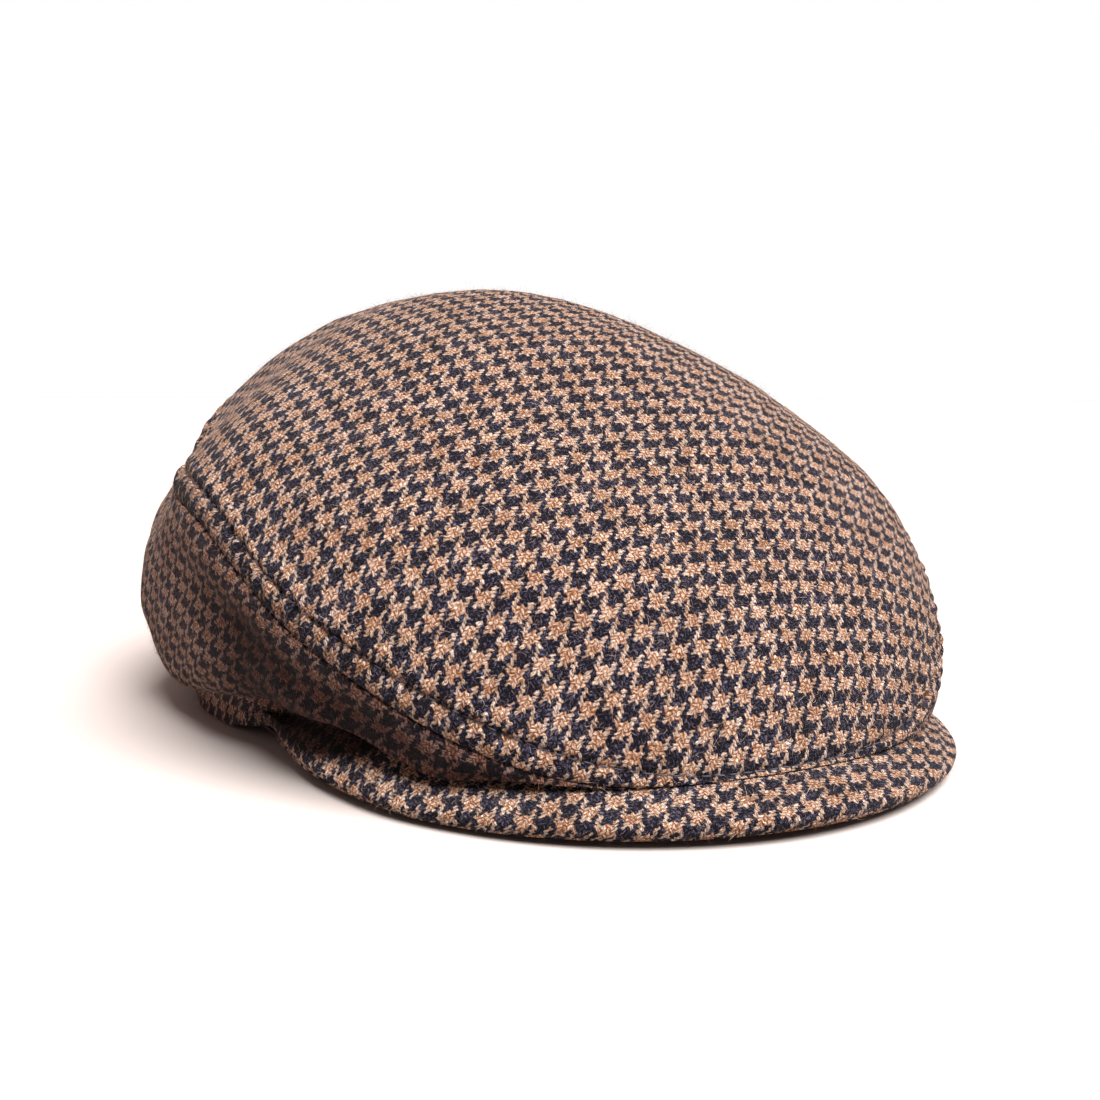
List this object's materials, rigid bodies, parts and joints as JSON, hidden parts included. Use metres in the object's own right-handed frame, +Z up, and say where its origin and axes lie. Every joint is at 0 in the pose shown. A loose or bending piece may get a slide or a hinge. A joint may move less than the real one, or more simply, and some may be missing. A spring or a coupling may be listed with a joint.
{
  "type": "flat cap",
  "caption": "A low flat cap of houndstooth wool: a big top panel sloping down to the front, curved side panels, a narrow head band and a short stiff peak under the crown's front edge.",
  "frame": {"origin": "on the surface that the cap rests on, under the middle of its outline", "axes": "+Z up, the peak points along -Y, and +X is the wearer's left"},
  "size_m": [0.199, 0.2644, 0.116],
  "materials": {
    "wool_cloth": "thick soft wool twill in a tan and navy houndstooth check",
    "band_cloth": "the same wool twill, cut as a narrow strip",
    "peak_cloth": "the same wool twill, drawn tight over a stiff board"
  },
  "bodies": {
    "root": {"crown_top": "wool_cloth", "side_panel_right": "wool_cloth", "side_panel_left": "wool_cloth", "head_band": "band_cloth", "peak": "peak_cloth"}
  },
  "joints": []
}
